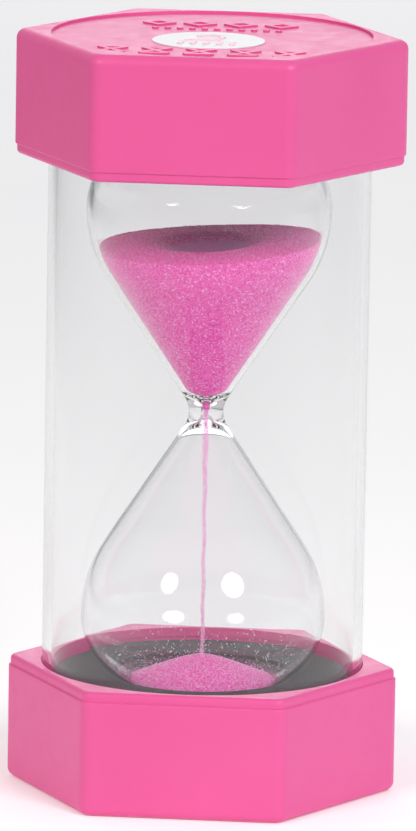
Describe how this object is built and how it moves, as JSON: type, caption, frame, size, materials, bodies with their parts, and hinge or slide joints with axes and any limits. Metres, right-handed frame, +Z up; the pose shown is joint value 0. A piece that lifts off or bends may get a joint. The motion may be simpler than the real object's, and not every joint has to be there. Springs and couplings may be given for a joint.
{
  "type": "hourglass",
  "caption": "Hand-held sand timer: a two-lobed glass bulb of pink sand in a clear guard tube between moulded hexagonal ends.",
  "frame": {"origin": "centre of the lower end's face, on the surface the timer stands on", "axes": "+Z up along the bulb's axis, +X through two corners of the hexagonal ends, -Y through the flat side that is the front"},
  "size_m": [0.082, 0.072, 0.16],
  "materials": {
    "cap_plastic": "satin moulded pink ABS",
    "label_white": "satin white disc",
    "mark_pink": "raised pink print",
    "clear_tube": "clear extruded acrylic, polished",
    "tube_adhesive": "cured translucent adhesive",
    "bulb_glass": "blown clear glass",
    "plug_rubber": "pale silicone",
    "foam_grey": "closed-cell foam, matte dark grey",
    "sand_pink": "dyed glitter sand"
  },
  "bodies": {
    "root": {"lower_cap_shell": "cap_plastic", "upper_cap_shell": "cap_plastic", "lower_collar_plate": "cap_plastic", "upper_collar_plate": "cap_plastic", "lower_label_disc": "label_white", "upper_label_disc": "label_white", "lower_duration_mark": "mark_pink", "upper_duration_mark": "mark_pink", "lower_foam_ring": "foam_grey", "upper_foam_ring": "foam_grey", "lower_foam_pad": "foam_grey", "upper_foam_pad": "foam_grey", "lower_tube_bond": "tube_adhesive", "upper_tube_bond": "tube_adhesive", "outer_tube": "clear_tube", "glass_bulb": "bulb_glass", "fill_plug": "plug_rubber", "sand_upper": "sand_pink", "sand_stream": "sand_pink", "sand_pile": "sand_pink", "loose_grains": "sand_pink"}
  },
  "joints": []
}
